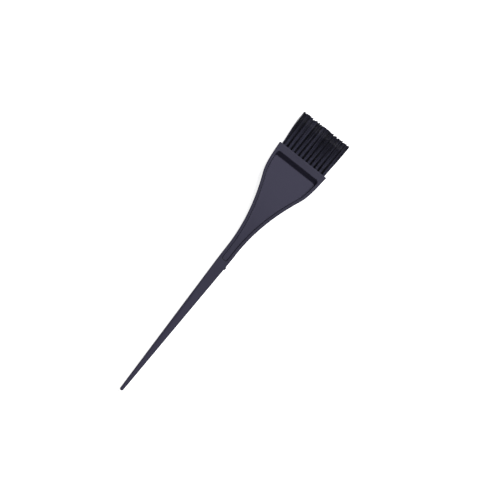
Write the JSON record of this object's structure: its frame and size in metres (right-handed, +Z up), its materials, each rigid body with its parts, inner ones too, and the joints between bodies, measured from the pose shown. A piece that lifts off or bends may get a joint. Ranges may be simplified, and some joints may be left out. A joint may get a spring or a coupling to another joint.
{
  "type": "tint brush",
  "caption": "Flat hair tint brush: a wide head holding rows of bristle bundles, a blade dished on both faces, and a slim tapering tail.",
  "frame": {"origin": "under the centre of the brush's box, on the surface that the head's lower face rests on", "axes": "+X from the tail towards the bristle tips, +Y across the head, +Z up out of the upper face"},
  "size_m": [0.216, 0.0384, 0.01],
  "materials": {
    "handle_plastic": "satin moulded plastic",
    "bristle_nylon": "satin nylon filament",
    "anchor_wire": "drawn flat wire"
  },
  "bodies": {
    "root": {"handle": "handle_plastic", "tuft_top_01": "bristle_nylon", "tuft_top_02": "bristle_nylon", "tuft_top_03": "bristle_nylon", "tuft_top_04": "bristle_nylon", "tuft_top_05": "bristle_nylon", "tuft_top_06": "bristle_nylon", "tuft_top_07": "bristle_nylon", "tuft_top_08": "bristle_nylon", "tuft_top_09": "bristle_nylon", "tuft_top_10": "bristle_nylon", "tuft_top_11": "bristle_nylon", "tuft_middle_01": "bristle_nylon", "tuft_middle_02": "bristle_nylon", "tuft_middle_03": "bristle_nylon", "tuft_middle_04": "bristle_nylon", "tuft_middle_05": "bristle_nylon", "tuft_middle_06": "bristle_nylon", "tuft_middle_07": "bristle_nylon", "tuft_middle_08": "bristle_nylon", "tuft_middle_09": "bristle_nylon", "tuft_middle_10": "bristle_nylon", "tuft_middle_11": "bristle_nylon", "tuft_bottom_01": "bristle_nylon", "tuft_bottom_02": "bristle_nylon", "tuft_bottom_03": "bristle_nylon", "tuft_bottom_04": "bristle_nylon", "tuft_bottom_05": "bristle_nylon", "tuft_bottom_06": "bristle_nylon", "tuft_bottom_07": "bristle_nylon", "tuft_bottom_08": "bristle_nylon", "tuft_bottom_09": "bristle_nylon", "tuft_bottom_10": "bristle_nylon", "tuft_bottom_11": "bristle_nylon", "anchors_top": "anchor_wire", "anchors_middle": "anchor_wire", "anchors_bottom": "anchor_wire"}
  },
  "joints": []
}
